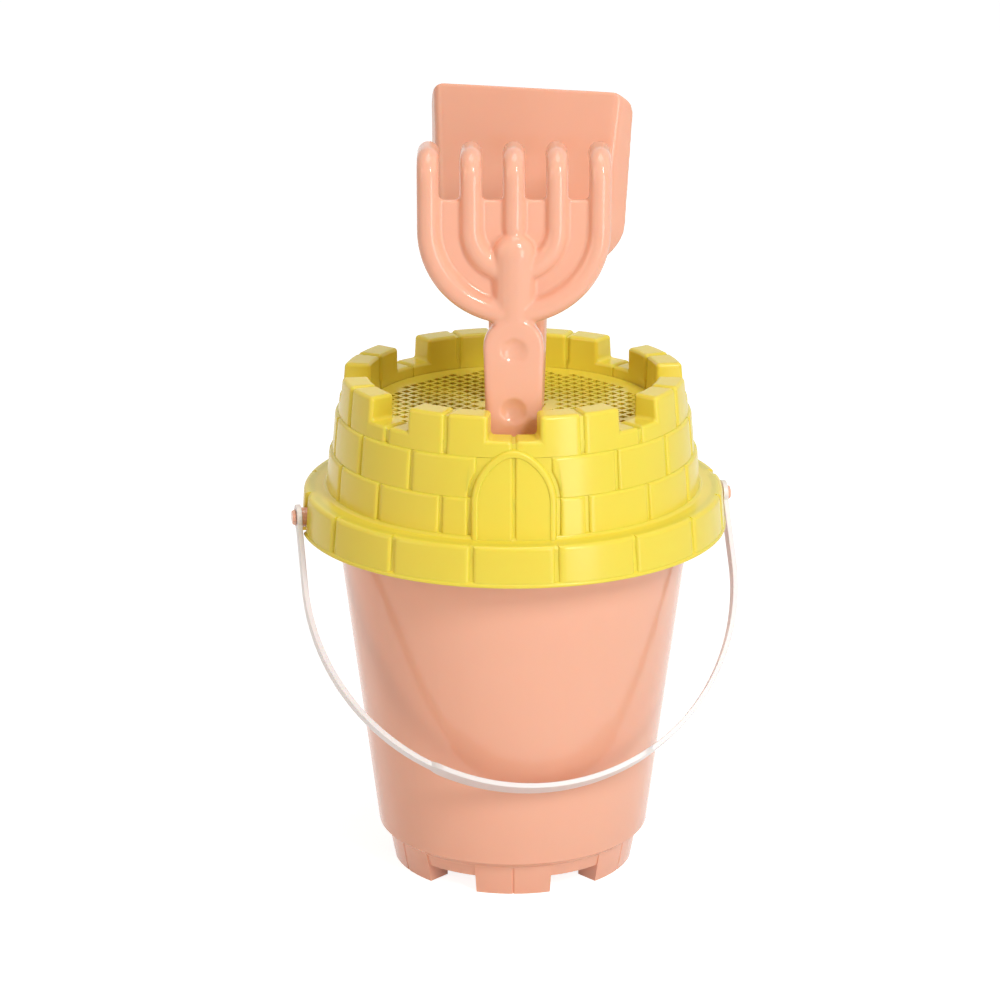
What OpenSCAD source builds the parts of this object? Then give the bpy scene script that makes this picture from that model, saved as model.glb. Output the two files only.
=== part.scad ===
/* [Bucket] */
// Height of the bucket from its feet to the top of its rim
bucket_h = 183; // [160:1:210]
// Outer radius of the wall under the rim
bucket_top_r = 85.4; // [80:0.2:92]
// Outer radius of the wall at its lower end
bucket_low_r = 64.5; // [60:0.5:70]
// Height of the wall's lower end
shoulder_z = 18; // [15:0.5:24]
// Step from the wall's lower end in to the castle feet
shoulder_step = 3.5; // [2:0.1:5]
// Thickness of the bucket's wall
bucket_wall = 2; // [1.6:0.1:2.6]
// Reach of the rim past the wall
rim_reach = 5.5; // [4:0.1:7]
// Depth of the rim's turned down edge
rim_drop = 6; // [4:0.2:8]

/* [Castle feet] */
// Number of feet
foot_count = 6; // [4:1:8]
// Outer radius of the feet on the ground
foot_r = 57.5; // [54:0.5:60]
// Height of the feet below the bucket's floor
foot_h = 8.5; // [6:0.5:12]
// Depth of a foot from its outer to its inner face
foot_depth = 11.5; // [9:0.5:15]
// Angle that a foot takes
foot_span = 35; // [28:1:40]
// Set back of the wall between the feet
foot_recess = 1; // [0.6:0.1:1.6]

/* [Bail] */
// Straight part of each leg below its pivot
bail_leg = 34.4; // [25:0.2:40]
// Thickness of the strap
strap_t = 2.4; // [1.8:0.1:3.2]
// Width of the strap
strap_w = 7; // [5:0.5:9]
// Width of the grip
grip_w = 12; // [9:0.5:15]
// Length of the grip from side to side
grip_len = 106; // [80:1:120]
// Radius of the round eyes
eye_r = 6; // [5.2:0.1:7]
// Radius of the studs that the eyes turn on
stud_r = 3; // [2.5:0.1:3.6]
// Distance of the studs below the top of the rim
stud_drop = 9; // [8:0.2:11]
// Room between the hanging grip and the bucket's wall
bail_rest = 1; // [0.4:0.1:4]
// Angle between the stud axis and the left to right line
bail_turn = 11; // [0:1:20]

/* [Sieve] */
// Wall thickness of the sieve
sieve_wall = 1.8; // [1.4:0.1:2.4]
// Room between the bucket's rim and the skirt
skirt_gap = 5.6; // [4:0.1:7]
// Height of the skirt
skirt_h = 18.6; // [16:0.2:24]
// Widening of the skirt towards its lip
skirt_flare = 1.4; // [0.6:0.1:2.4]
// Rounding of the flange's outer edge
flange_round = 4.5; // [3:0.1:6]
// Step from the bucket's wall out to the foot of the tower
tower_step = 3.1; // [2.4:0.1:4]
// Height of the tower above the flange
tower_h = 55; // [45:1:65]
// Narrowing of the tower from its foot to its top
tower_narrow = 9.1; // [6:0.1:12]
// Width of the ledge under the mesh
ledge_w = 2.5; // [1.6:0.1:4]
// Height of the bead round the skirt's lip
lip_h = 1.6; // [1:0.1:2.4]
// Reach of the bead past the skirt
lip_reach = 0.6; // [0.3:0.1:1]
// Number of merlons round the top
merlon_count = 8; // [6:1:10]
// Height of the merlons
merlon_h = 11; // [8:0.5:14]
// Angle that a merlon takes
merlon_span = 28; // [22:1:32]
// Depth of the merlons from outside to inside
merlon_depth = 11.6; // [9:0.2:14]
// Number of rows of bricks
course_count = 3; // [2:1:4]
// Width of the joints between the bricks
joint_w = 2; // [1.4:0.1:2.6]
// Depth of the joints between the bricks
joint_d = 0.9; // [0.5:0.1:1.1]

/* [Door] */
// Width of the door over its frame
door_w = 36; // [28:1:42]
// Height of the door to its point
door_h = 41; // [34:0.5:42]
// Height at which the arch begins
door_spring = 16; // [10:0.5:22]
// Width of the door's frame
frame_w = 2.4; // [1.8:0.1:3.4]
// Height of the frame over the bricks
frame_proud = 1; // [0.6:0.1:1.5]

/* [Mesh] */
// Depth of the mesh below the gaps between the merlons
mesh_drop = 5.5; // [1.5:0.1:8]
// Thickness of the mesh
mesh_t = 1.6; // [1.2:0.1:2.4]
// Distance from hole to hole
mesh_pitch = 5.1; // [5:0.1:8]
// Side of a square hole
mesh_hole = 3.4; // [2.6:0.1:4]
// Width of the plain rim of the mesh
mesh_rim = 5.6; // [4:0.2:8]

/* [Tools] */
// Length of the handles below their round shoulders
handle_len = 104; // [90:1:120]
// Width of the handles at their shoulders
handle_w = 27.4; // [24:0.2:30]
// Width of the handles at their ends
handle_end_w = 22; // [18:0.2:23]
// Thickness of the handles
handle_t = 8; // [6.5:0.1:9]
// Step round the edges of the handles
handle_bevel = 1.4; // [0.8:0.1:2]
// Height of the shoulders above the mesh
shoulder_lift = 43; // [36:0.5:50]
// Radius of the thumb dimples
dimple_r = 5.3; // [4:0.1:6]
// Depth of the thumb dimples
dimple_d = 2; // [1:0.1:2.4]
// Distance from dimple to dimple
dimple_pitch = 28; // [22:0.5:30]
// Number of dimples
dimple_count = 4; // [2:1:4]

/* [Rake] */
// Distance of the rake's handle in front of the sieve's axis
rake_out = 57.4; // [52:0.2:57.6]
// Distance from tine to tine
tine_pitch = 19.1; // [16:0.1:21]
// Radius of the tines
tine_r = 4.85; // [4:0.05:5.5]
// Height of the tines' elbows above the handle's shoulder
tine_top = 84; // [76:0.5:95]
// Radius of the tines' bends at the elbows
elbow_r = 8; // [6:0.5:10]
// Angle through which the tines turn back
elbow_angle = 90; // [40:5:90]
// Length of the tines past their elbows
tip_len = 12; // [8:0.5:16]
// Depth of the outer bow
bow_depth = 38.2; // [30:0.1:42]
// Height of the outer bow's lowest point above the handle's shoulder
bow_z = 15.5; // [12:0.1:22]
// Height of the inner bow's lowest point above the handle's shoulder
inner_bow_z = 34.6; // [30:0.1:48]
// Height of the web's upper edge above the handle's shoulder
web_top = 67; // [62:0.5:74]
// Thickness of the web between the tines
web_t = 2.6; // [2:0.1:4]
// Radius of the neck
neck_r = 9.5; // [6.5:0.1:11]
// Height of the neck's round top above the handle's shoulder
neck_top = 52; // [44:0.5:58]
// Reach of the neck in front of the handle's middle plane
neck_proud = 4.8; // [4.4:0.1:5.6]
// Distance of the tines' plane behind the handle's middle plane
head_back = 2; // [1:0.1:3]

/* [Spade] */
// Angle between the spade's blade and the left to right line
spade_turn = -16; // [-25:1:25]
// Distance of the spade's handle to the right of the sieve's axis
spade_off = 2; // [0:0.5:6]
// Angle at which the blade leans back from the handle
blade_tilt = 9; // [0:1:15]
// Width of the blade at its edge, between the folds
blade_w = 88.6; // [70:0.2:95]
// Width of the blade at its heel, between the folds
heel_w = 78.8; // [60:0.2:84]
// Height of the blade's edge above the handle's shoulder
blade_top = 105; // [90:1:120]
// Height of the heel above the handle's shoulder
heel_z = 40; // [30:1:50]
// Depth of the blade's sides at its edge
edge_depth = 9; // [6:0.5:18]
// Depth of the blade's sides at its heel
heel_depth = 13.5; // [10:0.5:26]
// Angle at which the blade's sides open
blade_flare = 27; // [5:1:35]
// Thickness of the blade
blade_wall = 2.4; // [1.8:0.1:3]
// Rounding of the blade's folds
blade_round = 5; // [3.6:0.1:7]
// Rounding of the corners of the blade's edge
corner_round = 9; // [4:0.5:12]

/* [Hidden] */
$fn = 96;
over = 1;
fit_gap = 0.3;
pin_gap = 0.1;
sliver = 0.01;
hull_fn = 32;

// The bucket's wall is a cone between its lower end and the rim
function bucket_r(z) =
    bucket_low_r + (bucket_top_r - bucket_low_r) * (z - shoulder_z) / (bucket_h - shoulder_z);
// The feet lean out from the ground to the shoulder
foot_top_r = bucket_low_r - shoulder_step;
function foot_face_r(z) = foot_r + (foot_top_r - foot_r) * z / shoulder_z;
rim_r = bucket_top_r + rim_reach;

// Levels of the sieve, counted from the floor
flange_z = bucket_h + sieve_wall;
tower_base_r = bucket_top_r + tower_step;
tower_top_z = flange_z + tower_h;
crenel_z = tower_top_z - merlon_h;
course_h = tower_h / course_count;
tower_draft = atan(tower_narrow / tower_h);
function tower_r(z) = tower_base_r - tower_narrow * (z - flange_z) / tower_h;
ring_in_r = tower_r(tower_top_z) - merlon_depth;
mesh_top_z = crenel_z - mesh_drop;
ledge_z = mesh_top_z - mesh_t;
ledge_in_r = ring_in_r - ledge_w;
skirt_in_r = rim_r + skirt_gap;
skirt_top_r = skirt_in_r + sieve_wall;
skirt_low_r = skirt_top_r + skirt_flare;
skirt_low_z = flange_z - skirt_h;
lip_r = skirt_low_r + lip_reach;

// The bail's studs and eyes
boss_share = 1.5;
head_share = 1.3;
stud_z = bucket_h - stud_drop;
eye_in_r = lip_r + 2 * fit_gap;
boss_r = boss_share * stud_r;
boss_end = eye_in_r - fit_gap;
pin_end = eye_in_r + strap_t + fit_gap;
head_t = stud_r / 2;
// The bail hangs out from straight down until its grip nearly meets the sloping wall
wall_slope = (bucket_top_r - bucket_low_r) / (bucket_h - shoulder_z);
bail_drop = bail_leg + eye_in_r;
bail_phase = atan2(wall_slope * bail_drop - grip_w / 2, bail_drop + wall_slope * grip_w / 2);
bail_reach = norm([bail_drop, grip_w / 2]) * norm([1, wall_slope]);
bail_lean = asin((bucket_r(stud_z) + bail_rest) / bail_reach) - bail_phase;
head_r = head_share * stud_r;

// The handles' places and their width at a depth below the shoulder
shoulder_top_z = mesh_top_z + shoulder_lift;
function handle_half(drop) =
    (handle_w + (handle_end_w - handle_w) * drop / (handle_len - handle_end_w / 2)) / 2;
dimple_sphere_r = (dimple_r * dimple_r + dimple_d * dimple_d) / (2 * dimple_d);
first_dimple = handle_t / 8;
neck_share = 0.62;

// The arch of the door has two centres
door_rise = door_h - door_spring;
arch_r = (door_rise * door_rise + door_w * door_w / 4) / door_w;
arch_steps = 12;

// The outer bow joins the first and the last of the five tines
bow_half = 2 * tine_pitch;
bow_bend = min(bow_depth, bow_half);

module turn_copies(count, start = 0) {
    for (i = [0 : count - 1]) rotate([0, 0, start + i * 360 / count]) children();
}

// A ring's piece whose outline lies in the radius and height plane, centred on the front
module sector(span) {
    rotate([0, 0, -90 - span / 2]) rotate_extrude(angle = span) children();
}

// Half section of the bucket's outside, with its rim turned down
module bucket_outside() {
    rim_low = bucket_h - bucket_wall;
    polygon([
        [0, foot_h],
        [foot_face_r(foot_h) - foot_recess, foot_h],
        [foot_top_r - foot_recess, shoulder_z - shoulder_step],
        [bucket_low_r, shoulder_z],
        [bucket_r(rim_low), rim_low],
        [rim_r - bucket_wall, rim_low],
        [rim_r - bucket_wall, bucket_h - rim_drop],
        [rim_r, bucket_h - rim_drop],
        [rim_r, bucket_h],
        [0, bucket_h]
    ]);
}

// Half section of the bucket's inside
module bucket_inside() {
    top = bucket_h + over;
    polygon([
        [0, foot_h + bucket_wall],
        [foot_face_r(foot_h) - foot_recess - bucket_wall, foot_h + bucket_wall],
        [foot_top_r - foot_recess - bucket_wall, shoulder_z - shoulder_step + bucket_wall / 2],
        [bucket_low_r - bucket_wall, shoulder_z + bucket_wall / 2],
        [bucket_r(top) - bucket_wall, top],
        [0, top]
    ]);
}

module foot_section(inset) {
    top = shoulder_z - shoulder_step / 2;
    inner = foot_r - foot_depth + inset;
    polygon([
        [inner, inset],
        [foot_face_r(inset) - inset, inset],
        [foot_face_r(top) - inset, top],
        [inner, top]
    ]);
}

// Joint line down the middle of each foot
module foot_joint() {
    translate([0, -foot_face_r(0), 0])
        rotate([atan((foot_top_r - foot_r) / shoulder_z), 0, 0])
            rotate([0, 0, 45])
                cube([joint_d, joint_d, 2 * (shoulder_z - shoulder_step)], center = true);
}

module stud() {
    translate([bucket_r(stud_z) - bucket_wall / 2, 0, stud_z])
        rotate([0, 90, 0])
            cylinder(r = boss_r, h = boss_end - bucket_r(stud_z) + bucket_wall / 2);
    translate([boss_end, 0, stud_z])
        rotate([0, 90, 0]) cylinder(r = stud_r, h = pin_end - boss_end);
    translate([pin_end, 0, stud_z])
        rotate([0, 90, 0]) cylinder(r1 = head_r, r2 = stud_r, h = head_t);
}

module bucket() {
    pocket_span = foot_span - 2 * asin(bucket_wall / foot_r);
    color("lightsalmon") {
        difference() {
            union() {
                rotate_extrude() bucket_outside();
                turn_copies(foot_count) sector(foot_span) foot_section(0);
            }
            rotate_extrude() bucket_inside();
            turn_copies(foot_count) sector(pocket_span) foot_section(bucket_wall);
            turn_copies(foot_count) foot_joint();
        }
        rotate([0, 0, bail_turn]) turn_copies(2) stud();
    }
}

// Outline of the bail's strap seen from the front, with the pivots at the origin's level
module strap_outline() {
    outer = eye_in_r + strap_t;
    difference() {
        union() {
            translate([0, -bail_leg]) circle(r = outer);
            translate([-outer, -bail_leg]) square([2 * outer, bail_leg]);
        }
        translate([0, -bail_leg]) circle(r = eye_in_r);
        translate([-eye_in_r, -bail_leg]) square([2 * eye_in_r, bail_leg + outer]);
        translate([-outer - over, 0]) square([2 * (outer + over), outer]);
    }
}

// Width of the strap along its length, seen from below
module strap_width() {
    reach = eye_in_r + strap_t + over;
    square([2 * reach, strap_w], center = true);
    square([grip_len - grip_w, grip_w], center = true);
    for (side = [-1, 1])
        translate([side * (grip_len - grip_w) / 2, 0]) circle(d = grip_w);
}

module bail() {
    fall = bail_leg + eye_in_r + strap_t + over;
    color("white")
        translate([0, 0, stud_z]) rotate([0, 0, bail_turn]) rotate([-bail_lean, 0, 0])
            difference() {
                union() {
                    intersection() {
                        rotate([90, 0, 0])
                            linear_extrude(grip_w, center = true) strap_outline();
                        translate([0, 0, -fall]) linear_extrude(fall) strap_width();
                    }
                    for (side = [-1, 1])
                        translate([side * (eye_in_r + strap_t / 2), 0, 0]) rotate([0, 90, 0])
                            cylinder(r = eye_r, h = strap_t, center = true);
                }
                rotate([0, 90, 0])
                    cylinder(r = stud_r + pin_gap, h = 2 * (pin_end + over), center = true);
            }
}

// Half section of the sieve's shell, with its top still whole
module castle_section() {
    corner_r = skirt_top_r;
    under_z = crenel_z - sieve_wall;
    difference() {
        polygon([
            [skirt_low_r - sieve_wall, skirt_low_z],
            [lip_r, skirt_low_z],
            [lip_r, skirt_low_z + lip_h],
            [skirt_low_r, skirt_low_z + lip_h],
            [corner_r, flange_z - flange_round],
            [corner_r, flange_z],
            [tower_base_r, flange_z],
            [tower_r(tower_top_z), tower_top_z],
            [ring_in_r, tower_top_z],
            [ring_in_r, ledge_z],
            [ledge_in_r, ledge_z],
            [ledge_in_r, ledge_z - sieve_wall],
            [ring_in_r + sieve_wall, ledge_z - sieve_wall],
            [ring_in_r + sieve_wall, under_z],
            [tower_r(under_z) - sieve_wall, under_z],
            [tower_base_r - sieve_wall, flange_z - sieve_wall],
            [skirt_in_r, flange_z - sieve_wall],
            [skirt_in_r, flange_z - flange_round]
        ]);
        translate([corner_r - flange_round, flange_z - flange_round]) difference() {
            square(flange_round + over);
            circle(r = flange_round);
        }
    }
}

// Gap between two merlons
module crenel_section() {
    translate([ring_in_r - over, crenel_z])
        square([merlon_depth + tower_narrow + over, merlon_h + over]);
}

// Hollow inside a merlon, open to the underside
module hollow_section() {
    low = crenel_z - sieve_wall - over;
    top = tower_top_z - sieve_wall;
    polygon([
        [ring_in_r + sieve_wall, low],
        [tower_r(low) - sieve_wall, low],
        [tower_r(top) - sieve_wall, top],
        [ring_in_r + sieve_wall, top]
    ]);
}

// A square bar on its edge, laid along the tower's sloping wall over one row of bricks
module wall_joint(low_z, high_z) {
    side = joint_w / sqrt(2);
    translate([0, -tower_r(low_z) + joint_w / 2 - joint_d, low_z])
        rotate([-tower_draft, 0, 0]) rotate([0, 0, 45]) translate([-side / 2, -side / 2, 0])
            cube([side, side, (high_z - low_z) / cos(tower_draft)]);
}

// Groove over the top of a merlon, from its outer to its inner face
module top_joint(z) {
    side = joint_w / sqrt(2);
    length = merlon_depth + tower_narrow;
    translate([0, -ring_in_r + over, z + joint_w / 2 - joint_d]) rotate([90, 0, 0])
        rotate([0, 0, 45]) translate([-side / 2, -side / 2, 0]) cube([side, side, length]);
}

module course_joint(z) {
    side = joint_w / 2;
    rotate_extrude() polygon([
        [tower_r(z) - joint_d, z],
        [tower_r(z - side) + sliver, z - side],
        [tower_r(z) + over, z],
        [tower_r(z + side) + sliver, z + side]
    ]);
}

module brick_joints() {
    bond = 180 / (2 * merlon_count);
    for (row = [1 : course_count - 1]) course_joint(flange_z + row * course_h);
    for (row = [0 : course_count - 1]) {
        top = row == course_count - 1 ? tower_top_z : flange_z + (row + 1) * course_h;
        turn_copies(2 * merlon_count, bond * ((course_count - 1 - row) % 2))
            wall_joint(flange_z + row * course_h, top);
    }
    turn_copies(merlon_count, bond * 2) top_joint(tower_top_z);
    turn_copies(merlon_count) top_joint(crenel_z);
}

// A square bar on its edge, laid down the outside of the skirt
module skirt_joint() {
    side = joint_w / sqrt(2);
    low_z = skirt_low_z + lip_h;
    high_z = flange_z - flange_round / 2;
    lean = atan(skirt_flare / (high_z - low_z));
    translate([0, -skirt_low_r + joint_w / 2 - joint_d, low_z])
        rotate([-lean, 0, 0]) rotate([0, 0, 45]) translate([-side / 2, -side / 2, 0])
            cube([side, side, (high_z - low_z) / cos(lean)]);
}

// Pointed door outline, standing a little below the flange
module door_outline(inset) {
    half = door_w / 2 - inset;
    centre = door_w / 2 - arch_r;
    r = arch_r - inset;
    apex = acos(-centre / r);
    arch = [for (i = [0 : arch_steps]) let (turn = apex * i / arch_steps)
        [centre + r * cos(turn), door_spring + r * sin(turn)]];
    far_side = [for (i = [1 : arch_steps]) [-arch[arch_steps - i][0], arch[arch_steps - i][1]]];
    polygon(concat([[-half, -sieve_wall], [half, -sieve_wall]], arch, far_side));
}

// A layer that follows the tower's wall, from below its face to above it
module tower_layer(below, above) {
    low = flange_z - sieve_wall / 2;
    rotate_extrude() polygon([
        [tower_r(low) - below, low],
        [tower_r(low) + above, low],
        [tower_r(crenel_z) + above, crenel_z],
        [tower_r(crenel_z) - below, crenel_z]
    ]);
}

module door() {
    intersection() {
        tower_layer(joint_d, frame_proud);
        translate([0, 0, flange_z]) rotate([90, 0, 0]) linear_extrude(tower_base_r + rim_reach)
            difference() {
                door_outline(0);
                door_outline(frame_w);
            }
    }
    intersection() {
        tower_layer(joint_d, frame_proud / 3);
        translate([0, 0, flange_z]) rotate([90, 0, 0]) linear_extrude(tower_base_r + rim_reach)
            difference() {
                door_outline(frame_w / 2);
                translate([-joint_d / 2, 0]) square([joint_d, door_h]);
            }
    }
}

// Opening in the skirt that lets it down over a stud
module skirt_notch() {
    half = boss_r + 2 * fit_gap;
    translate([skirt_in_r - over, 0, stud_z]) rotate([0, 90, 0])
        cylinder(r = half, h = eye_in_r - skirt_in_r + over);
    translate([skirt_in_r - over, -half, skirt_low_z - over])
        cube([eye_in_r - skirt_in_r + over, 2 * half, stud_z - skirt_low_z + over]);
}

module sieve_castle() {
    hollow_span = merlon_span - 2 * asin(sieve_wall / ring_in_r);
    crenel_span = 360 / merlon_count - merlon_span;
    half_step = 180 / merlon_count;
    color("gold") {
        difference() {
            rotate_extrude() castle_section();
            turn_copies(merlon_count) sector(crenel_span) crenel_section();
            turn_copies(merlon_count, half_step) sector(hollow_span) hollow_section();
            brick_joints();
            turn_copies(2 * merlon_count, half_step / 2) skirt_joint();
            rotate([0, 0, bail_turn]) turn_copies(2) skirt_notch();
        }
        door();
    }
}

// Opening for a handle, seen from above
module handle_slot(margin) {
    half = handle_half(shoulder_lift) + margin;
    square([2 * half, handle_t + 2 * margin], center = true);
}

module place_rake() {
    translate([0, -rake_out, 0]) children();
}

module place_spade() {
    translate([spade_off, 0, 0]) rotate([0, 0, spade_turn]) children();
}

// Square holes on a diagonal lattice inside the plain rim, clear of the slots
module mesh_holes() {
    disc_r = ring_in_r - fit_gap;
    steps = ceil(2 * disc_r / mesh_pitch);
    corner = mesh_hole / sqrt(2);
    plain = sieve_wall + corner;
    half = handle_half(shoulder_lift) + plain;
    for (i = [-steps : steps], j = [-steps : steps]) {
        x = (i - j) * mesh_pitch / sqrt(2);
        y = (i + j) * mesh_pitch / sqrt(2);
        from_spade = x - spade_off;
        spade_x = from_spade * cos(spade_turn) + y * sin(spade_turn);
        spade_y = y * cos(spade_turn) - from_spade * sin(spade_turn);
        in_disc = norm([x, y]) + corner < disc_r - mesh_rim;
        at_rake = abs(x) < half && abs(y + rake_out) < handle_t / 2 + plain;
        at_spade = abs(spade_x) < half && abs(spade_y) < handle_t / 2 + plain;
        if (in_disc && !at_rake && !at_spade)
            translate([x, y]) rotate(45) square(mesh_hole, center = true);
    }
}

module sieve_mesh() {
    color("gold") translate([0, 0, ledge_z]) linear_extrude(mesh_t) difference() {
        circle(r = ring_in_r - fit_gap);
        mesh_holes();
        place_rake() handle_slot(fit_gap);
        place_spade() handle_slot(fit_gap);
    }
}

// Handle outline with its round shoulder centred on the origin and its end below
module handle_outline(inset) {
    end_half = handle_end_w / 2;
    end_y = -handle_len + end_half;
    circle(r = handle_w / 2 - inset);
    polygon([
        [-handle_w / 2 + inset, 0],
        [-end_half + inset, end_y],
        [end_half - inset, end_y],
        [handle_w / 2 - inset, 0]
    ]);
    translate([0, end_y]) circle(r = end_half - inset);
}

module handle() {
    difference() {
        rotate([90, 0, 0]) {
            linear_extrude(handle_t - 2 * handle_bevel, center = true) handle_outline(0);
            linear_extrude(handle_t, center = true) handle_outline(handle_bevel);
        }
        for (i = [0 : dimple_count - 1], side = [-1, 1])
            translate([0, side * (handle_t / 2 + dimple_sphere_r - dimple_d),
                -first_dimple - i * dimple_pitch])
                sphere(r = dimple_sphere_r);
    }
}

// Straight tine with its elbow and round tip, standing on its lower end
module tine(low_z) {
    straight = tine_top - elbow_r - low_z;
    translate([0, 0, low_z]) cylinder(r = tine_r, h = straight);
    translate([0, elbow_r, low_z + straight]) rotate([0, 0, -90]) rotate([90, 0, 0])
        rotate_extrude(angle = elbow_angle) translate([elbow_r, 0]) circle(r = tine_r);
    translate([0, elbow_r, low_z + straight]) rotate([-elbow_angle, 0, 0])
        translate([0, -elbow_r, 0]) {
            cylinder(r = tine_r, h = tip_len);
            translate([0, 0, tip_len]) sphere(r = tine_r);
        }
}

// A round bar bent to a bow whose ends point up, with a straight piece in its middle
module bow(half, depth) {
    flat = half - depth;
    if (flat > 0)
        for (side = [0, 1]) mirror([side, 0, 0]) translate([flat, 0, 0]) rotate([90, 0, 0])
            rotate([0, 0, -90]) rotate_extrude(angle = 90) translate([depth, 0]) circle(r = tine_r);
    else
        rotate([90, 0, 0]) rotate([0, 0, 180]) rotate_extrude(angle = 180)
            translate([depth, 0]) circle(r = tine_r);
    if (flat > 0)
        translate([-flat, 0, -depth]) rotate([0, 90, 0]) cylinder(r = tine_r, h = 2 * flat);
}

// Web outline: the inside of the outer bow, up to the web's upper edge
module web_outline() {
    bow_top = bow_z + bow_bend;
    flat = bow_half - bow_bend;
    intersection() {
        union() {
            translate([-bow_half, bow_top]) square([2 * bow_half, web_top - bow_top]);
            if (flat > 0) translate([-flat, bow_z]) square([2 * flat, bow_bend]);
            for (x = [-flat, flat]) translate([x, bow_top]) circle(r = bow_bend);
        }
        translate([-bow_half - over, 0]) square([2 * (bow_half + over), web_top]);
    }
}

module rake_head() {
    bow_top = bow_z + bow_bend;
    inner_top = inner_bow_z + tine_pitch;
    middle_z = neck_top + tine_r / 2;
    tine_feet = [bow_top, inner_top, middle_z, inner_top, bow_top];
    for (i = [0 : 4]) translate([(i - 2) * tine_pitch, 0, 0]) tine(tine_feet[i]);
    translate([0, 0, middle_z]) sphere(r = tine_r);
    translate([0, 0, inner_top]) bow(tine_pitch, tine_pitch);
    translate([0, 0, bow_top]) bow(bow_half, bow_bend);
    rotate([90, 0, 0]) linear_extrude(web_t, center = true) web_outline();
}

// Half round neck with a round top and a flat back, sinking into the handle at its foot
module rake_neck() {
    back = handle_t / 4;
    length = neck_top - neck_r - handle_w / 2;
    lean = atan((neck_proud - handle_t / 2) / length);
    intersection() {
        translate([0, neck_r - neck_proud, neck_top - neck_r]) rotate([lean, 0, 0]) {
            sphere(r = neck_r);
            translate([0, 0, -length - neck_r]) cylinder(r = neck_r, h = length + neck_r);
        }
        translate([-neck_r - over, -neck_proud - over, 0])
            cube([2 * (neck_r + over), neck_proud + over + back, neck_top + over]);
    }
}

module rake() {
    color("lightsalmon") place_rake() translate([0, 0, shoulder_top_z]) {
        handle();
        translate([0, head_back, 0]) rake_head();
        rake_neck();
    }
}

// Posts at the corners of the blade's section at one height: round folds and square rear edges
module blade_corners(z, width, depth, inset, reach) {
    fold = width / 2 - blade_round * tan(45 - blade_flare / 2);
    rear = depth + reach;
    open = width / 2 + rear * tan(blade_flare) - inset / cos(blade_flare);
    for (side = [-1, 1]) {
        translate([side * fold, blade_round, z])
            cylinder(r = blade_round - inset, h = sliver, $fn = hull_fn);
        translate([side * (open - sliver), rear - sliver, z]) cylinder(r = sliver, h = sliver, $fn = 4);
    }
}

// The blade's body: one loft from its edge to its heel and one on to the handle
module blade_body(inset, reach) {
    low_w = neck_share * handle_w;
    hull() {
        blade_corners(blade_top + reach, blade_w, edge_depth, inset, reach);
        blade_corners(heel_z, heel_w, heel_depth, inset, reach);
    }
    hull() {
        blade_corners(heel_z, heel_w, heel_depth, inset, reach);
        blade_corners(inset - handle_t, low_w, low_w / 2, inset, reach);
    }
}

// Front outline of the blade, with its rounded corners at the edge
module blade_front() {
    half = blade_w / 2 + edge_depth * tan(blade_flare);
    side = half - corner_round;
    wide = bow_half + half;
    low = -handle_w / 2;
    translate([-wide, low]) square([2 * wide, heel_z - low]);
    translate([-half, 0]) square([2 * half, blade_top - corner_round]);
    translate([-side, 0]) square([2 * side, blade_top]);
    for (x = [-side, side]) translate([x, blade_top - corner_round]) circle(r = corner_round);
}

module blade() {
    depth = heel_depth + over;
    intersection() {
        difference() {
            blade_body(0, 0);
            blade_body(blade_wall, over);
        }
        translate([0, depth, 0]) rotate([90, 0, 0]) linear_extrude(depth + over) blade_front();
    }
}

module spade() {
    color("lightsalmon") place_spade() translate([0, 0, shoulder_top_z]) {
        handle();
        translate([0, -handle_t / 2 + 2 * handle_bevel, 0]) rotate([-blade_tilt, 0, 0]) blade();
    }
}

bucket();
bail();
sieve_castle();
sieve_mesh();
rake();
spade();
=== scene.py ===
import math
import bmesh
import bpy
from mathutils import Matrix, Vector


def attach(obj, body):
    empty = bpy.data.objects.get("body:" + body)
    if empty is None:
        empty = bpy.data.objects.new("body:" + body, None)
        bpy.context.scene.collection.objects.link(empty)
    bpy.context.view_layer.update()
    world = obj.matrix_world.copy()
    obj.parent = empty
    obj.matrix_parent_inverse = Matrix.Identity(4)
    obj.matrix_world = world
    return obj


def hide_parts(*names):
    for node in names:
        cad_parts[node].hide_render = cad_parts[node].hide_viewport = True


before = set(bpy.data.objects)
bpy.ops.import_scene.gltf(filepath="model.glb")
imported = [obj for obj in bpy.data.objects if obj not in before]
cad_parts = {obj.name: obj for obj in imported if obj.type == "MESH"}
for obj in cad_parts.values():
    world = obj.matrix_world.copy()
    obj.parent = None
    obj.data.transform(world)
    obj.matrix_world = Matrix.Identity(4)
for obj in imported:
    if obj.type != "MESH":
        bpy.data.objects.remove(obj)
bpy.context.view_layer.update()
mm = 0.001
print("frame loaded", sorted(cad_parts))


# small tools that every piece uses

def pick(*objs):
    if bpy.context.object and bpy.context.object.mode != "OBJECT":
        bpy.ops.object.mode_set(mode="OBJECT")
    bpy.ops.object.select_all(action="DESELECT")
    for obj in objs:
        obj.select_set(True)
    if objs:
        bpy.context.view_layer.objects.active = objs[0]


def editMode(obj):
    pick(obj)
    bpy.ops.object.mode_set(mode="EDIT")
    bpy.ops.mesh.select_all(action="DESELECT")


def objectMode():
    bpy.ops.object.mode_set(mode="OBJECT")


def selectEdges(obj, test):
    # test gets the edge and its middle, and the edge is picked where it says yes
    bm = bmesh.from_edit_mesh(obj.data)
    bpy.ops.mesh.select_mode(type="EDGE")
    bpy.ops.mesh.select_all(action="DESELECT")
    for edge in bm.edges:
        if test(edge, (edge.verts[0].co + edge.verts[1].co) / 2):
            edge.select_set(True)
    bmesh.update_edit_mesh(obj.data)


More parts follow.
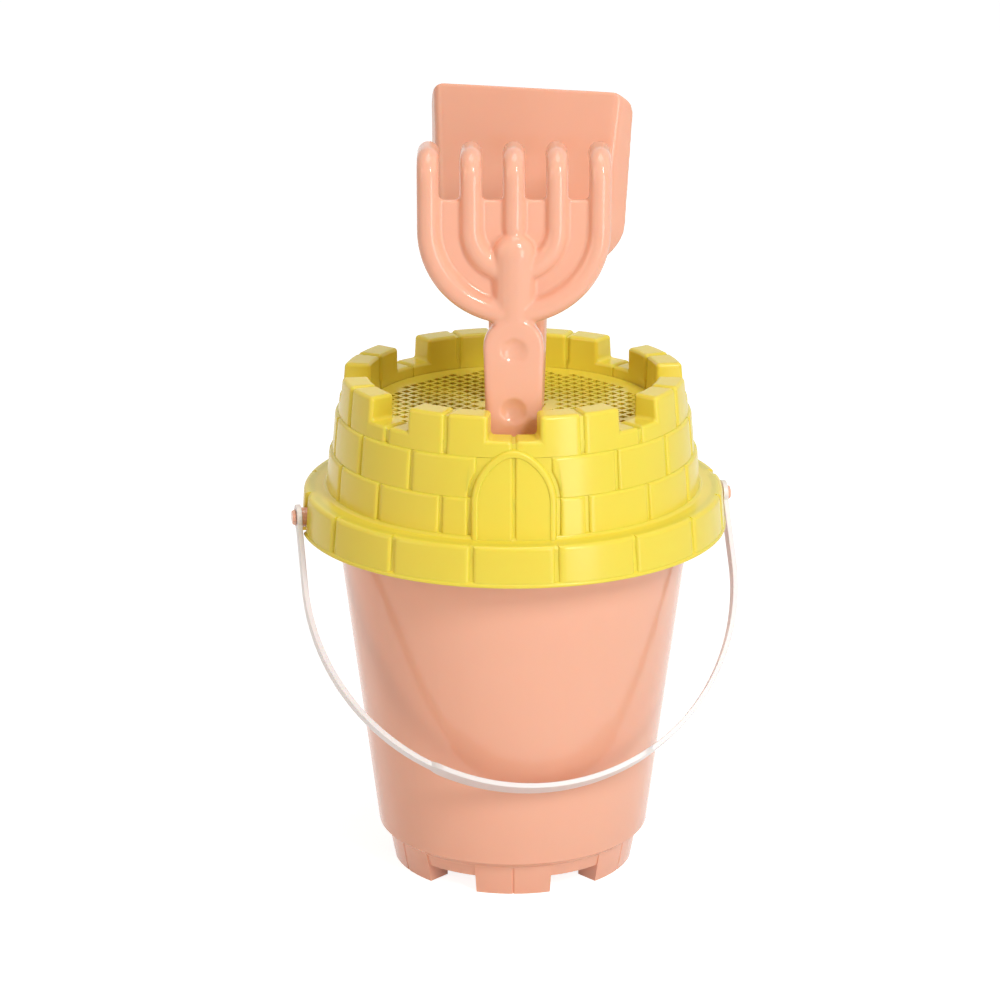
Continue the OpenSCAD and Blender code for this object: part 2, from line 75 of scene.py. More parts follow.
def selectFaces(obj, test):
    bm = bmesh.from_edit_mesh(obj.data)
    bpy.ops.mesh.select_mode(type="FACE")
    bpy.ops.mesh.select_all(action="DESELECT")
    for face in bm.faces:
        if test(face, face.calc_center_median()):
            face.select_set(True)
    bmesh.update_edit_mesh(obj.data)


def isSharp(edge, degrees=30):
    return len(edge.link_faces) == 2 and edge.calc_face_angle(0) > math.radians(degrees)


def cleanUp(mergeDistance=0.01):
    bpy.ops.mesh.select_mode(type="VERT")
    bpy.ops.mesh.select_all(action="SELECT")
    bpy.ops.mesh.remove_doubles(threshold=mergeDistance * mm)
    bpy.ops.mesh.normals_make_consistent(inside=False)


def drawOutline(name, points, closed=True):
    # one vertex is pulled from point to point, and the outline is filled when it is closed
    pick()
    bpy.ops.mesh.primitive_plane_add(size=mm, location=(0, 0, 0))
    obj = bpy.context.object
    obj.name = name
    bpy.ops.object.mode_set(mode="EDIT")
    bpy.ops.mesh.select_mode(type="VERT")
    bpy.ops.mesh.select_all(action="SELECT")
    bpy.ops.mesh.merge(type="CENTER")
    bpy.ops.transform.translate(value=Vector(points[0]) * mm)
    for here, there in zip(points, points[1:]):
        step = (Vector(there) - Vector(here)) * mm
        bpy.ops.mesh.extrude_vertices_move(TRANSFORM_OT_translate={"value": step})
    bpy.ops.mesh.select_all(action="SELECT")
    if closed:
        bpy.ops.mesh.edge_face_add()
    return obj


def arc(x, z, r, degrees):
    # points round a centre in the upright plane
    turns = [math.radians(a) for a in degrees]
    return [(x + r * math.cos(turn), z + r * math.sin(turn)) for turn in turns]


def spinSection(name, section, arcs, startAngle):
    # section holds radius and height, arcs hold degrees and steps one after another, anticlockwise from above
    obj = drawOutline(name, [(r, 0, z) for r, z in section])
    for degrees, steps in arcs:
        bpy.ops.mesh.spin(steps=steps, angle=-math.radians(degrees), center=(0, 0, 0), axis=(0, 0, 1))
    cleanUp()
    objectMode()
    obj.data.transform(Matrix.Rotation(math.radians(startAngle), 4, "Z"))
    return obj


def spinRing(name, section, steps=192):
    # a whole ring, so the section's own face is left out
    outline = list(section) + [section[0]]
    obj = drawOutline(name, [(r, 0, z) for r, z in outline], closed=False)
    bpy.ops.mesh.spin(steps=steps, angle=2 * math.pi, center=(0, 0, 0), axis=(0, 0, 1))
    cleanUp()
    objectMode()
    return obj


def ringCopies(obj, count, first=0):
    # copies round the upright axis, each with its own mesh
    made = [obj]
    for i in range(1, count):
        twin = obj.copy()
        twin.data = obj.data.copy()
        bpy.context.collection.objects.link(twin)
        twin.data.transform(Matrix.Rotation(2 * math.pi * i / count, 4, "Z"))
        made.append(twin)
    for each in made:
        each.data.transform(Matrix.Rotation(math.radians(first), 4, "Z"))
    return made


def mirrorTwin(obj):
    # the same piece the other way round, across the plane y = 0
    twin = obj.copy()
    twin.data = obj.data.copy()
    bpy.context.collection.objects.link(twin)
    twin.data.transform(Matrix.Scale(-1, 4, (0, 1, 0)))
    twin.data.flip_normals()
    return twin


def joinAll(objs, name):
    pick(*objs)
    bpy.ops.object.join()
    obj = bpy.context.object
    obj.name = name
    obj.data.name = name
    return obj


def loftGrid(name, rows, columns, place):
    # a grid whose vertices are set row by row, for skins that follow another surface
    pick()
    bpy.ops.mesh.primitive_grid_add(x_subdivisions=columns - 1, y_subdivisions=rows - 1, size=1)
    obj = bpy.context.object
    obj.name = name
    for index, vertex in enumerate(obj.data.vertices):
        row, column = divmod(index, columns)
        vertex.co = Vector(place(row, column)) * mm
    return obj


def sweepBar(name, points, radius, swell=None):
    # a round bar along a row of points, swell gives each point's share of the radius
    curve = bpy.data.curves.new(name, "CURVE")
    curve.dimensions = "3D"
    curve.bevel_depth = radius * mm
    curve.bevel_resolution = 7
    curve.use_fill_caps = True
    spline = curve.splines.new("POLY")
    spline.points.add(len(points) - 1)
    for i, place in enumerate(points):
        spline.points[i].co = (*(Vector(place) * mm), 1)
        spline.points[i].radius = swell[i] if swell else 1
    obj = bpy.data.objects.new(name, curve)
    bpy.context.collection.objects.link(obj)
    pick(obj)
    bpy.ops.object.convert(target="MESH")
    return bpy.context.object


def addBall(name, place, radius):
    pick()
    bpy.ops.mesh.primitive_uv_sphere_add(segments=32, ring_count=16, radius=radius * mm,
                                         location=Vector(place) * mm)
    obj = bpy.context.object
    obj.name = name
    bpy.ops.object.transform_apply(location=True, rotation=True, scale=True)
    return obj


def addPlate(name, points, front, thickness):
    # points hold x and z, and the plate reaches back from its front plane
    obj = drawOutline(name, [(x, front, z) for x, z in points])
    bpy.ops.mesh.extrude_region_move(TRANSFORM_OT_translate={"value": (0, thickness * mm, 0)})
    cleanUp()
    objectMode()
    return obj


def applyModifier(obj, kind, **settings):
    pick(obj)
    modifier = obj.modifiers.new(kind.title(), kind)
    for key, value in settings.items():
        setattr(modifier, key, value)
    bpy.ops.object.modifier_apply(modifier=modifier.name)


def meltTogether(obj, voxel, fillet, smoothing):
    # joined shapes become one skin, and the hollows between them are filled to a soft round
    for push in (0, fillet, -fillet):
        if push:
            applyModifier(obj, "DISPLACE", strength=push * mm, mid_level=0)
        applyModifier(obj, "REMESH", mode="VOXEL", voxel_size=voxel * mm, use_smooth_shade=True)
    applyModifier(obj, "SMOOTH", factor=0.5, iterations=smoothing)


def finishShade(obj, degrees):
    # broad faces keep their own direction, so the light breaks only at the rounded edges
    pick(obj)
    bpy.ops.object.shade_smooth_by_angle(angle=math.radians(degrees))
    applyModifier(obj, "WEIGHTED_NORMAL", mode="FACE_AREA", weight=50, keep_sharp=True)


# finishes

def mouldedPlastic(name, lit, deep, rough, grain, glow):
    # lit and deep are two close tones of one plastic, mixed in soft clouds
    mat = bpy.data.materials.new(name)
    mat.use_nodes = True
    nodes, links = mat.node_tree.nodes, mat.node_tree.links
    shader = nodes["Principled BSDF"]
    where = nodes.new("ShaderNodeTexCoord")
    clouds = nodes.new("ShaderNodeTexNoise")
    clouds.inputs["Scale"].default_value = 14
    clouds.inputs["Detail"].default_value = 3
    tones = nodes.new("ShaderNodeValToRGB")
    tones.color_ramp.elements[0].position = 0.3
    tones.color_ramp.elements[0].color = (*deep, 1)
    tones.color_ramp.elements[1].position = 0.7
    tones.color_ramp.elements[1].color = (*lit, 1)
    smears = nodes.new("ShaderNodeTexNoise")
    smears.inputs["Scale"].default_value = 55
    smears.inputs["Detail"].default_value = 4
    polish = nodes.new("ShaderNodeMapRange")
    polish.inputs["To Min"].default_value = rough[0]
    polish.inputs["To Max"].default_value = rough[1]
    skin = nodes.new("ShaderNodeTexNoise")
    skin.inputs["Scale"].default_value = 420
    skin.inputs["Detail"].default_value = 2
    bump = nodes.new("ShaderNodeBump")
    bump.inputs["Strength"].default_value = grain
    bump.inputs["Distance"].default_value = 0.1 * mm
    for texture in (clouds, smears, skin):
        links.new(where.outputs["Object"], texture.inputs["Vector"])
    links.new(clouds.outputs["Fac"], tones.inputs["Fac"])
    links.new(tones.outputs["Color"], shader.inputs["Base Color"])
    links.new(smears.outputs["Fac"], polish.inputs["Value"])
    links.new(polish.outputs["Result"], shader.inputs["Roughness"])
    links.new(skin.outputs["Fac"], bump.inputs["Height"])
    links.new(bump.outputs["Normal"], shader.inputs["Normal"])
    shader.inputs["IOR"].default_value = 1.42
    shader.inputs["Subsurface Weight"].default_value = glow
    shader.inputs["Subsurface Radius"].default_value = (1.0, 0.45, 0.25)
    shader.inputs["Subsurface Scale"].default_value = 1.6 * mm
    return mat


apricotPlastic = mouldedPlastic(
    "apricotPlastic", lit=(0.9, 0.475, 0.33), deep=(0.885, 0.46, 0.315), rough=(0.1, 0.14), grain=0.03, glow=0.3)
yellowPlastic = mouldedPlastic(
    "yellowPlastic", lit=(0.84, 0.69, 0.07), deep=(0.825, 0.67, 0.062), rough=(0.22, 0.28), grain=0.04, glow=0.25)
whitePlastic = mouldedPlastic(
    "whitePlastic", lit=(0.8, 0.765, 0.755), deep=(0.785, 0.75, 0.74), rough=(0.26, 0.34), grain=0.05, glow=0.15)


def paint(obj, mat):
    obj.data.materials.clear()
    obj.data.materials.append(mat)


# the sieve's castle: a smooth backing with rounded bricks, a pointed door and a skirt laid on it

sieveCastle = {
    "flangeZ": 184.8, "towerH": 55, "baseR": 88.5, "narrow": 9.1, "footZ": 1.6,
    "crenelZ": 228.8, "ringInR": 67.8, "ledgeZ": 221.7, "ledgeInR": 65.3, "wall": 1.8, "floorRise": 0.6,
    "rows": 3, "bricksRound": 16, "crenelHalf": 8.5, "brickFoot": 1.3, "brickTop": 2.6, "merlonWall": 1.2,
    "edgeRound": 1.5, "merlonRound": 1.8, "jointGap": 1.6, "jointDepth": 1.2, "rowStep": 0.7, "coreOverlap": 3,
    "skirtLowZ": 166.2, "skirtLowR": 99.7, "skirtTopR": 98.3, "blockRound": 2.0, "flangeRound": 2.2,
    "skirtWall": 0.9, "underFlangeR": 96.2, "underSkirtR": 96.6, "blockFoot": 1.5, "blockReach": 5,
    "notchAngle": 11, "notchHalf": 2.2, "notchTopZ": 179.2, "nearNotch": 5,
    "doorW": 38, "doorH": 41, "doorSpring": 16, "frameW": 3.0, "doorGap": 1.8, "tipRound": 6, "doorDip": 0.4,
    "behindDoor": 3, "nearDoor": 42, "clearFront": -98, "clearDepth": 24,
}
footRound = [(1.3, 0), (0.5, 0.2), (-0.1, 0.6), (-0.5, 1.3)]   # wall into flange, outward and up
skirtLip = [(-1.8, 0), (0.2, 0), (0.5, 0.3), (0.55, 0.8), (0.45, 1.3), (0.1, 1.7)]   # outward and up


def towerR(z):
    s = sieveCastle
    return s["baseR"] - s["narrow"] * (z - s["flangeZ"]) / s["towerH"]


def roundBlock(obj, width, segments, test):
    editMode(obj)
    selectEdges(obj, test)
    bpy.ops.mesh.bevel(offset=width * mm, segments=segments, profile=0.5, clamp_overlap=False)
    cleanUp(0.002)
    objectMode()
    return obj


def doorArchR():
    # both sides of the point have this radius
    s = sieveCastle
    rise = s["doorH"] - s["doorSpring"]
    return (rise ** 2 + s["doorW"] ** 2 / 4) / s["doorW"]


def onDoor(t, inset):
    # the pointed outline, from the right foot at 0, over the soft point at 1, to the left foot at 2
    s = sieveCastle
    upright = 0.3   # the share of each side that is straight
    archR = doorArchR()
    centre = s["doorW"] / 2 - archR
    side = 1 if t <= 1 else -1
    t = t if t <= 1 else 2 - t
    if t < upright:
        height = s["doorSpring"] * t / upright - s["doorDip"] * (1 - t / upright)
        return side * (s["doorW"] / 2 - inset), height
    r = archR - inset
    turn = math.acos(-centre / r) * (t - upright) / (1 - upright)
    x, height = centre + r * math.cos(turn), s["doorSpring"] + r * math.sin(turn)
    slope = -centre / math.sqrt(r * r - centre * centre)
    height -= slope * s["tipRound"] / 2 * max(0, 1 - x / s["tipRound"]) ** 2
    return side * x, height


def doorOutline(inset, steps=40):
    # from foot to foot, reaching below the flange
    below = -2
    points = [onDoor(2 * i / steps, inset) for i in range(steps + 1)]
    points = [(points[0][0], below)] + points + [(points[-1][0], below)]
    return [(x, sieveCastle["flangeZ"] + height) for x, height in points]


def makeCastle():
    s = sieveCastle
    flangeZ, wall, inR, ledgeZ, crenelZ = s["flangeZ"], s["wall"], s["ringInR"], s["ledgeZ"], s["crenelZ"]
    rowH = s["towerH"] / s["rows"]
    topZ, floorZ = flangeZ + s["towerH"], crenelZ - wall
    brickTurn = 360 / s["bricksRound"]
    gapTurn = math.degrees(s["jointGap"] / s["baseR"])
    back, step = s["jointDepth"], s["rowStep"]
    notchZ, notchR = s["notchTopZ"], s["skirtTopR"] - back

    # backing above the notches: flange, stepped tower wall, crenel floor and the ledge for the mesh
    bend, footZ, underZ = s["flangeRound"], flangeZ + s["footZ"], flangeZ - wall
    backing = [(notchR - s["skirtWall"], notchZ), (notchR, notchZ)]
    backing += arc(notchR - bend, flangeZ - bend, bend, range(0, 91, 15))
    backing += [(s["baseR"] + out, flangeZ + up) for out, up in footRound]
    backing += [(towerR(footZ) - step - back, footZ)]
    for row in range(1, s["rows"]):
        z = flangeZ + row * rowH - 0.15   # just under the lower bricks' tops
        backing += [(towerR(z) + step - back, z), (towerR(z) - step - back, z)]
    backing += [(towerR(floorZ) - back, floorZ + s["floorRise"]), (inR + 0.8, floorZ + s["floorRise"])]
    backing += [(inR + 0.4, ledgeZ), (s["ledgeInR"], ledgeZ), (s["ledgeInR"], ledgeZ - wall)]
    backing += [(inR + wall, ledgeZ - wall), (inR + wall, floorZ), (towerR(floorZ) - wall, floorZ)]
    backing += [(s["baseR"] - wall, underZ), (s["underFlangeR"], underZ), (s["underSkirtR"], underZ - 0.4)]
    parts = [spinRing("backing", backing)]

    # skirt below the notches' tops, in two arcs that leave the notches open
    lowZ, lowR = s["skirtLowZ"], s["skirtLowR"]
    joinZ = notchZ + 0.2   # a little way into the backing
    skirt = [(lowR + out, lowZ + up) for out, up in skirtLip]
    skirt += [(lowR - back, lowZ + 2.3), (notchR, joinZ), (notchR - s["skirtWall"], joinZ)]
    skirtTurn = 180 - 2 * s["notchHalf"]
    for side in (0, 180):
        parts.append(spinSection("skirt", skirt, [(skirtTurn, 90)], s["notchAngle"] + s["notchHalf"] + side))

    # one brick of each plain row, copied round and kept clear of the door
    cutter = addPlate("doorClearance", doorOutline(-s["doorGap"]), s["clearFront"], s["clearDepth"])
    for row in range(s["rows"] - 1):
        z0, z1 = flangeZ + row * rowH, flangeZ + (row + 1) * rowH
        r0, r1 = towerR(z0) - step, towerR(z1) + step
        section = [(r0 - s["brickFoot"], z0), (r0, z0), (r1, z1), (r1 - s["brickTop"], z1)]
        firstTurn = brickTurn / 2 if row == 1 else 0
        firstBrick = spinSection("brick", section, [(brickTurn - gapTurn, 10)], gapTurn / 2)

        def showsOnBrick(edge, m):
            z = m.z / mm
            face = r0 + (r1 - r0) * (z - z0) / rowH
            return isSharp(edge) and z > z0 + 0.05 and m.xy.length / mm > face - 0.4

        for brick in ringCopies(firstBrick, s["bricksRound"], firstTurn):
            middle = sum((v.co for v in brick.data.vertices), Vector()) / len(brick.data.vertices) / mm
            if middle.y < 0 and abs(middle.x) < s["behindDoor"]:
                bpy.data.objects.remove(brick)   # this one lies behind the door
                continue
            if middle.y < 0 and abs(middle.x) < s["nearDoor"]:
                applyModifier(brick, "BOOLEAN", operation="DIFFERENCE", solver="EXACT", object=cutter)
            parts.append(roundBlock(brick, s["edgeRound"], 3, showsOnBrick))
    bpy.data.objects.remove(cutter)

    # top row: from the middle of a crenel to the middle of a merlon, then its mirror twin
    z0 = flangeZ + 2 * rowH
    r0, r1 = towerR(z0) - step, towerR(topZ) + step

    def faceR(z):
        return r0 + (r1 - r0) * (z - z0) / (topZ - z0)

    innerR, seatZ, lowFloor = inR + s["merlonWall"], ledgeZ + 0.3, floorZ + 0.2
    section = [(r0 - s["brickFoot"], z0), (r0, z0), (faceR(crenelZ), crenelZ), (inR, crenelZ), (inR, seatZ)]
    section += [(innerR, seatZ), (innerR, lowFloor), (towerR(floorZ) - 1.4, lowFloor)]
    low, high = s["crenelHalf"] - gapTurn / 2, brickTurn - s["crenelHalf"] - gapTurn / 2
    merlon = spinSection("merlon", section, [(low, 4), (high, 7)], gapTurn / 2)

    def underMerlon(face, m):
        level = face.normal.z > 0.9 and abs(m.z - crenelZ * mm) < 0.01 * mm
        return level and abs(math.degrees(math.atan2(m.y, m.x))) > s["crenelHalf"]

    editMode(merlon)
    selectFaces(merlon, underMerlon)
    bpy.ops.mesh.extrude_region_move(TRANSFORM_OT_translate={"value": (0, 0, (topZ - crenelZ) * mm)})
    objectMode()
    for v in merlon.data.vertices:   # the outer edge of the top is drawn in to the tower's slope
        if v.co.z > (topZ - 0.1) * mm and v.co.xy.length > (inR + 5) * mm:
            flat = v.co.xy.normalized() * r1 * mm
            v.co.x, v.co.y = flat.x, flat.y

    def showsOnMerlon(edge, m):
        r, z = m.xy.length / mm, m.z / mm
        return isSharp(edge) and z > z0 + 0.05 and (r > faceR(z) - 0.3 or z > crenelZ - 0.1)

    roundBlock(merlon, s["merlonRound"], 4, showsOnMerlon)
    twin = mirrorTwin(merlon)
    merlons = s["bricksRound"] // 2
    parts += ringCopies(merlon, merlons) + ringCopies(twin, merlons)

    # a core closes the joint in the middle of each merlon
    coreTurn = gapTurn + s["coreOverlap"]
    core = [(innerR, lowFloor), (faceR(floorZ) - back, lowFloor), (r1 - back, topZ - back), (innerR, topZ - back)]
    parts += ringCopies(spinSection("merlonCore", core, [(coreTurn, 4)], brickTurn - coreTurn / 2), merlons)

    # skirt blocks between the lip and the flange, shorter beside the notches
    blockR, blockLow = s["skirtTopR"], lowZ + s["blockFoot"]
    blockTop = flangeZ + 0.04   # level with the flange
    block = [(lowR - 1.6, blockLow), (lowR - 0.1, blockLow), (blockR, blockTop), (blockR - s["blockReach"], blockTop)]
    blockGap = math.degrees(s["jointGap"] / lowR)

    def showsOnBlock(edge, m):
        return isSharp(edge) and m.z > (lowZ + 1.6) * mm and m.xy.length > (blockR - 0.3) * mm

    for i in range(s["bricksRound"]):
        start = brickTurn * (i + 0.5) + blockGap / 2
        end = start + brickTurn - blockGap
        for notch in (s["notchAngle"], s["notchAngle"] + 180):
            if start < notch + s["notchHalf"] < end and notch - start < s["nearNotch"]:
                start = notch + s["notchHalf"]
            if start < notch - s["notchHalf"] < end and end - notch < s["nearNotch"]:
                end = notch - s["notchHalf"]
        if i == s["bricksRound"] - 1:
            end = 360 + s["notchAngle"] - s["notchHalf"]   # the last block ends at the first notch
        piece = spinSection("skirtBlock", block, [(end - start, 10)], start)
        parts.append(roundBlock(piece, s["blockRound"], 4, showsOnBlock))
    return joinAll(parts, "sieveCastle")


def doorHalf(height, inset):
    # half width of the pointed opening at a height above the flange
    s = sieveCastle
    if height <= s["doorSpring"]:
        return s["doorW"] / 2 - inset
    archR = doorArchR()
    across = (archR - inset) ** 2 - (height - s["doorSpring"]) ** 2
    return max(0, math.sqrt(max(0, across)) - archR + s["doorW"] / 2)


def onTower(x, height, proud):
    z = sieveCastle["flangeZ"] + height
    r = towerR(z) + proud
    return (x, -math.sqrt(r * r - x * x), z)


def makeDoor():
    s = sieveCastle

    # the frame's rib, from its outer foot over its flat top to its inner foot, inset and proud
    wide, steps = s["frameW"], 81
    rib = [(-0.4, -1.9), (0, 0.1), (0.15, 0.65), (0.5, 1.05), (0.95, 1.2)]
    rib += [(wide - 0.95, 1.2), (wide - 0.5, 1.05), (wide - 0.15, 0.65), (wide, 0.1), (wide + 0.3, -1.3)]

    def ribPoint(row, column):
        inset, proud = rib[column]
        x, height = onDoor(2 * row / (steps - 1), inset)
        return onTower(x, height, proud)

    ribPiece = loftGrid("doorFrame", steps, len(rib), ribPoint)

    # two leaves with a groove between them, from the left edge to the right
    shares = [0.12, 0.3, 0.55, 0.8, 0.94, 1]
    groove = [(0, -0.75), (0.55, -0.75), (0.75, -0.45), (0.95, 0.05), (1.2, 0.35), (1.6, 0.45)]
    grooveHalf, leafProud = groove[-1]
    columns = [(-1, "leaf", i) for i in range(5, -1, -1)] + [(-1, "groove", i) for i in range(5, 0, -1)]
    columns += [(1, "groove", i) for i in range(6)] + [(1, "leaf", i) for i in range(6)]
    heights, underRib, belowPoint = 28, 1.2, 1.4

    def leafPoint(row, column):
        height = -s["doorDip"] + (s["doorH"] - belowPoint) * row / (heights - 1)
        half = doorHalf(max(height, 0), underRib)
        side, kind, i = columns[column]
        if kind == "groove":
            return onTower(side * min(groove[i][0], half * 0.9), height, groove[i][1])
        inner = min(grooveHalf, half * 0.9)
        return onTower(side * (inner + (half - inner) * shares[i]), height, leafProud)

    leaves = loftGrid("doorLeaves", heights, len(columns), leafPoint)
    for piece in (ribPiece, leaves):
        editMode(piece)
        cleanUp(0.02)
        objectMode()
        outward = sum(p.normal.y * p.area for p in piece.data.polygons)
        if outward > 0:
            piece.data.flip_normals()
    return [ribPiece, leaves]


castle = joinAll([makeCastle()] + makeDoor(), "sieveCastle")
paint(castle, yellowPlastic)
finishShade(castle, 40)
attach(castle, "sieve")
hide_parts("sieve_castle")
print("sieve castle", len(castle.data.polygons), "faces")


# the flat handle that the rake and the spade share, with its round shoulder at the origin

toolHandle = {
    "width": 27.4, "endWidth": 22, "thick": 8, "length": 104, "edgeRound": 2.1,
    "dimpleR": 6.2, "dimpleDepth": 2.2, "dimplePitch": 28, "firstDimple": 1, "dimples": 4,
}


def makeHandle(name):
    h = toolHandle
    topR, endR = h["width"] / 2, h["endWidth"] / 2
    endZ = endR - h["length"]
    halfTurn = range(0, 181, 6)
    points = arc(0, 0, topR, halfTurn) + [(-x, endZ - z) for x, z in arc(0, 0, endR, halfTurn)]
    bar = addPlate(name, points, -h["thick"] / 2, h["thick"])
    roundBlock(bar, h["edgeRound"], 3, lambda e, m: isSharp(e, 60))
    ballR = (h["dimpleR"] ** 2 + h["dimpleDepth"] ** 2) / (2 * h["dimpleDepth"])
    balls = []
    for i in range(h["dimples"]):
        for side in (-1, 1):
            y = side * (h["thick"] / 2 + ballR - h["dimpleDepth"])
            balls.append(addBall("dimple", (0, y, -h["firstDimple"] - i * h["dimplePitch"]), ballR))
    cutter = joinAll(balls, "dimples")
    applyModifier(bar, "BOOLEAN", operation="DIFFERENCE", solver="EXACT", object=cutter)
    bpy.data.objects.remove(cutter)
    return bar


# the rake: two bows of round bar, a middle tine, a web between them and a half round neck

sandRake = {
    "outY": -57.4, "shoulderZ": 266.3, "pitch": 19.1, "barR": 5.05, "bowSwell": 1.1, "bowZ": 53.7,
    "tineTop": 84, "elbowR": 8, "tipLen": 12, "headBack": 2,
    "webTop": 66.6, "webFront": 1.0, "webThick": 3.6, "webCorner": 2.6, "webReach": 0.9,
    "neckHalf": 9.4, "neckLow": 4, "neckTop": 52, "neckProud": 6.8, "neckFlat": 0.75,
    "voxel": 0.58, "fillet": 0.5, "smoothing": 4,
}


def tineEnd(x):
    # from the tip over the elbow to the straight part
    k = sandRake
    back, top, bend = k["headBack"], k["tineTop"], k["elbowR"]
    points = [(x, back + bend + k["tipLen"], top), (x, back + bend + k["tipLen"] / 2, top)]
    points += [(x, y, z) for y, z in arc(back + bend, top - bend, bend, range(90, 181, 9))]
    return points


def makeRake():
    k = sandRake
    back, r = k["headBack"], k["barR"]
    parts = [makeHandle("rakeHandle")]
    for half in (k["pitch"], 2 * k["pitch"]):
        path = tineEnd(-half)
        swell = [1] * len(path)
        for a in range(180, 361, 5):
            turn = math.radians(a)
            path.append((half * math.cos(turn), back, k["bowZ"] + half * math.sin(turn)))
            swell.append(1 + (k["bowSwell"] - 1) * min(1, 1.6 * abs(math.sin(turn))))
        path += tineEnd(half)[::-1]
        swell += [1] * (len(path) - len(swell))
        parts.append(sweepBar("bow", path, r, swell))
        parts += [addBall("tip", path[0], r), addBall("tip", path[-1], r)]
    low = k["neckTop"] + r / 2
    middle = tineEnd(0) + [(0, back, low + 6), (0, back, low)]
    parts += [sweepBar("middleTine", middle, r), addBall("tip", middle[0], r), addBall("foot", middle[-1], r)]

    # web with a small round in each upper corner
    outer, corner, top = 2 * k["pitch"], k["webCorner"], k["webTop"]
    points = []
    for gap in range(4):
        left = -outer + gap * k["pitch"] + r * k["webReach"]
        right = left + k["pitch"] - 2 * k["webReach"] * r
        points += arc(left + corner, top + corner, corner, range(180, 271, 15))
        points += arc(right - corner, top + corner, corner, range(270, 361, 15))
    points += [(x, k["bowZ"] - z) for x, z in arc(0, 0, outer, range(0, 181, 5))]
    parts.append(addPlate("web", points, back + k["webFront"] - k["webThick"] / 2, k["webThick"]))

    # the neck is a flattened bar that leans until its foot lies in the handle's face
    wide, flatten = k["neckHalf"], k["neckFlat"]
    ballZ = k["neckTop"] - wide
    bar = sweepBar("neck", [(0, 0, k["neckLow"]), (0, 0, ballZ)], wide)
    neck = joinAll([bar, addBall("neckTop", (0, 0, ballZ), wide)], "neck")
    neck.data.transform(Matrix.Scale(flatten, 4, (0, 1, 0)))
    lean = math.atan((k["neckProud"] - toolHandle["thick"] / 2) / (ballZ - toolHandle["width"] / 2))
    neck.data.transform(Matrix.Translation((0, (flatten * wide - k["neckProud"]) * mm, 0))
                        @ Matrix.Translation((0, 0, ballZ * mm)) @ Matrix.Rotation(lean, 4, "X")
                        @ Matrix.Translation((0, 0, -ballZ * mm)))
    parts.append(neck)
    rake = joinAll(parts, "sandRake")
    meltTogether(rake, k["voxel"], k["fillet"], k["smoothing"])
    rake.data.transform(Matrix.Translation((0, k["outY"] * mm, k["shoulderZ"] * mm)))
    return rake


# the spade: one folded sheet with round corners, lofted from the handle to its edge

sandSpade = {
    "offX": 2, "turn": -16, "shoulderZ": 266.3, "tilt": 9, "frontY": -1.2,
    "edgeW": 88.6, "heelW": 78.8, "lowW": 13, "edgeZ": 105, "heelZ": 37, "heelSoft": 7, "lowZ": -4,
    "edgeDepth": 9, "heelDepth": 13.5, "lowDepth": 5, "flare": 27, "foldR": 5.5, "cornerR": 9, "wall": 2.4,
    "voxel": 0.6, "fillet": 0.5, "smoothing": 4,
}


